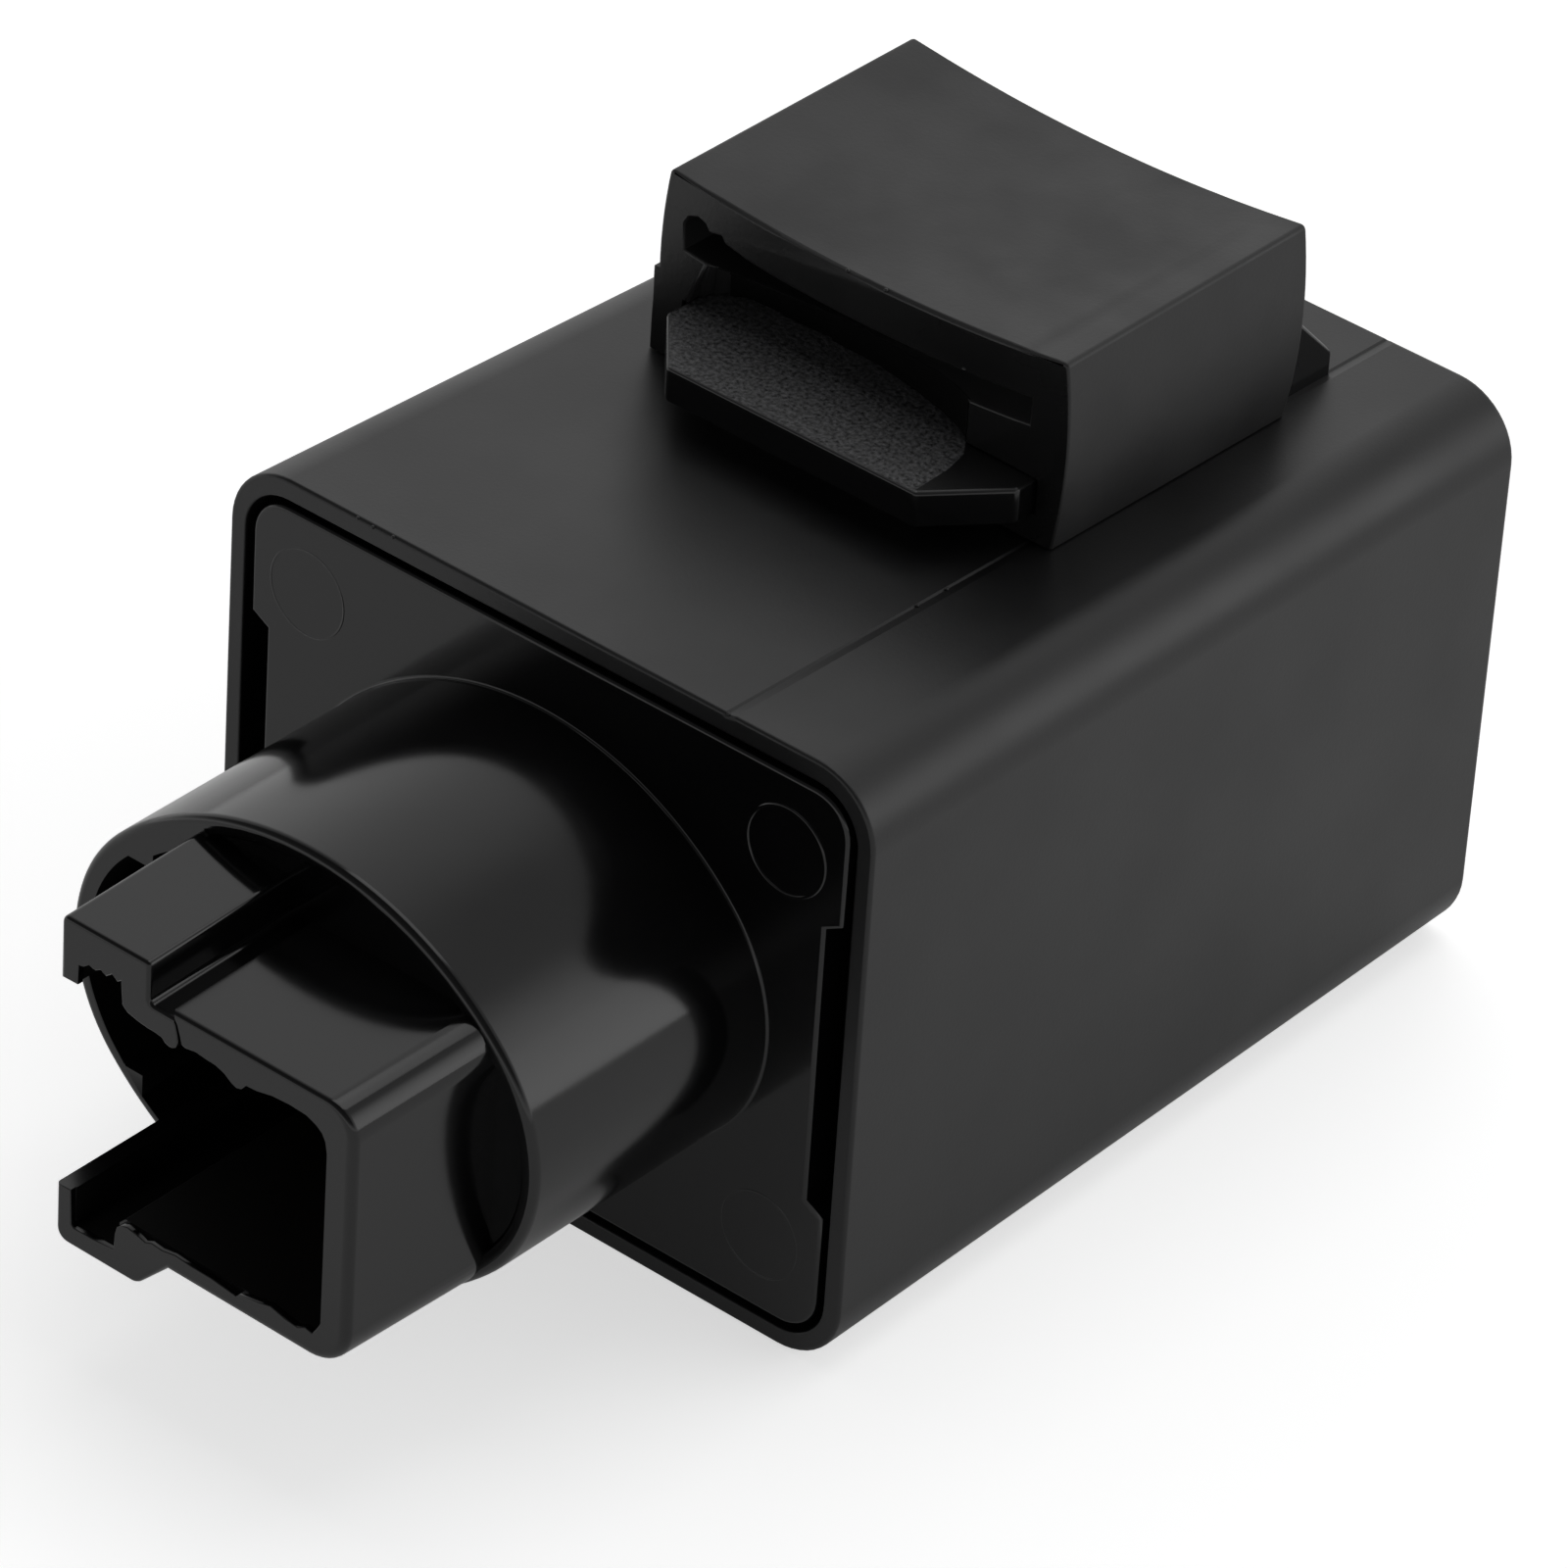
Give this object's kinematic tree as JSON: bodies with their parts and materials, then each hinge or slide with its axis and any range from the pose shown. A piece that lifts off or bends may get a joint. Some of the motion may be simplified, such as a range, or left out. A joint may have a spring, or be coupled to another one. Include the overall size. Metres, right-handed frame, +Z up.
{
  "type": "automotive relay",
  "caption": "Black flasher relay: box case with a rubber bracket sleeve on top and an oval turret with a keyed blade socket in front.",
  "frame": {"origin": "centre of the case's flat underside", "axes": "+Z up from the underside to the rubber sleeve, +X across the width, -Y out of the socket's mouth"},
  "size_m": [0.032, 0.0597, 0.0345],
  "materials": {
    "case_plastic": "satin black moulded plastic, fine grain",
    "sleeve_rubber": "matt black rubber",
    "socket_plastic": "high gloss black moulded plastic",
    "terminal_brass": "bright stamped brass",
    "board_laminate": "green lacquered laminate",
    "relay_iron": "zinc plated iron",
    "bobbin_plastic": "natural nylon",
    "winding_copper": "enamelled copper wire",
    "spring_bronze": "rolled bronze",
    "contact_silver": "silver alloy",
    "rivet_brass": "brass",
    "tinned_wire": "tinned wire",
    "chip_epoxy": "matt black epoxy",
    "capacitor_can": "dark sleeve over an aluminium can",
    "seal_rubber": "black rubber",
    "resistor_lacquer": "tan lacquer",
    "diode_epoxy": "black epoxy",
    "shunt_copper": "bare copper wire",
    "solder_tin": "solder"
  },
  "bodies": {
    "relay": {"case": "case_plastic", "rubber_mount": "sleeve_rubber", "base": "socket_plastic", "battery_terminal": "terminal_brass", "lamp_terminal": "terminal_brass", "earth_terminal": "terminal_brass", "circuit_board": "board_laminate", "yoke": "relay_iron", "bobbin": "bobbin_plastic", "coil_winding": "winding_copper", "core": "relay_iron", "contact_spring": "spring_bronze", "yoke_rivets": "rivet_brass", "fixed_contact": "contact_silver", "fixed_contact_arm": "terminal_brass", "back_stop": "terminal_brass", "coil_pins": "tinned_wire", "flasher_chip": "chip_epoxy", "chip_leads": "tinned_wire", "timing_capacitor": "capacitor_can", "capacitor_seal": "seal_rubber", "capacitor_leads": "tinned_wire", "timing_resistor": "resistor_lacquer", "sense_resistor": "resistor_lacquer", "suppression_diode": "diode_epoxy", "current_shunt": "shunt_copper", "solder_joints": "solder_tin"},
    "armature_assembly": {"armature": "relay_iron", "moving_contact": "contact_silver", "armature_rivets": "rivet_brass"}
  },
  "joints": [
    {"name": "armature_hinge", "type": "hinge", "parent": "relay", "child": "armature_assembly", "pos_m": [-0.002, 0.00805, 0.02012], "axis": [1, 0, 0], "range_deg": [0, 4], "stiffness_Nm_per_rad": 0.02, "springref_deg": -8.59, "deforming": ["contact_spring"]}
  ]
}
